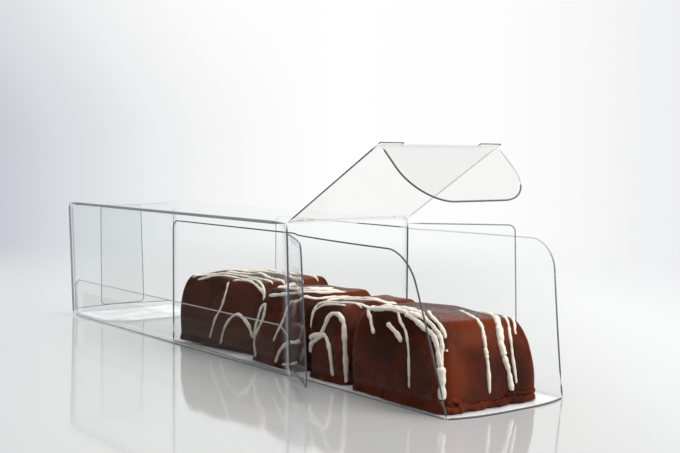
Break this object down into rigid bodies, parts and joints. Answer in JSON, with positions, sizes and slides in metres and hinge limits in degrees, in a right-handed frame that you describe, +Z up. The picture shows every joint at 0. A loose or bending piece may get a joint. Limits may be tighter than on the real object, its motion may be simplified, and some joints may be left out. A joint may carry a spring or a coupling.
{
  "type": "clear slide box of chocolates",
  "caption": "Folded clear film sleeve, its end lid and dust flaps open, with a film tray of iced dipped chocolates pulled part way out",
  "frame": {"origin": "on the table, under the middle of the sleeve's 152 mm long underside", "axes": "+X runs along the box to its open end, +Y across it away from the glued seam, +Z up"},
  "size_m": [0.2205, 0.083, 0.0682],
  "materials": {
    "clear_film": "clear, glossy PET sheet",
    "clear_glue": "clear glue line, slightly cloudy",
    "dark_chocolate": "satin, dipped chocolate coating",
    "cream_icing": "smooth set icing"
  },
  "bodies": {
    "box": {"sleeve": "clear_film", "seam_glue": "clear_glue"},
    "drawer": {"tray": "clear_film", "chocolate_1": "dark_chocolate", "chocolate_2": "dark_chocolate", "chocolate_3": "dark_chocolate", "chocolate_4": "dark_chocolate", "icing_1": "cream_icing", "icing_2": "cream_icing", "icing_3": "cream_icing", "icing_4": "cream_icing"},
    "lid": {"lid_panel": "clear_film"},
    "tuck": {"tuck_tongue": "clear_film"}
  },
  "joints": [
    {"name": "tray_slide", "type": "slide", "parent": "box", "child": "drawer", "axis": [1, 0, 0], "range_m": [-0.069, 0.055]},
    {"name": "lid_hinge", "type": "hinge", "parent": "box", "child": "lid", "pos_m": [0.076, 0, 0.045], "axis": [0, -1, 0], "range_deg": [-5, 128]},
    {"name": "tuck_fold", "type": "hinge", "parent": "lid", "child": "tuck", "pos_m": [0.11474, 0, 0.06755], "axis": [0, -1, 0], "range_deg": [-16, 71]}
  ]
}
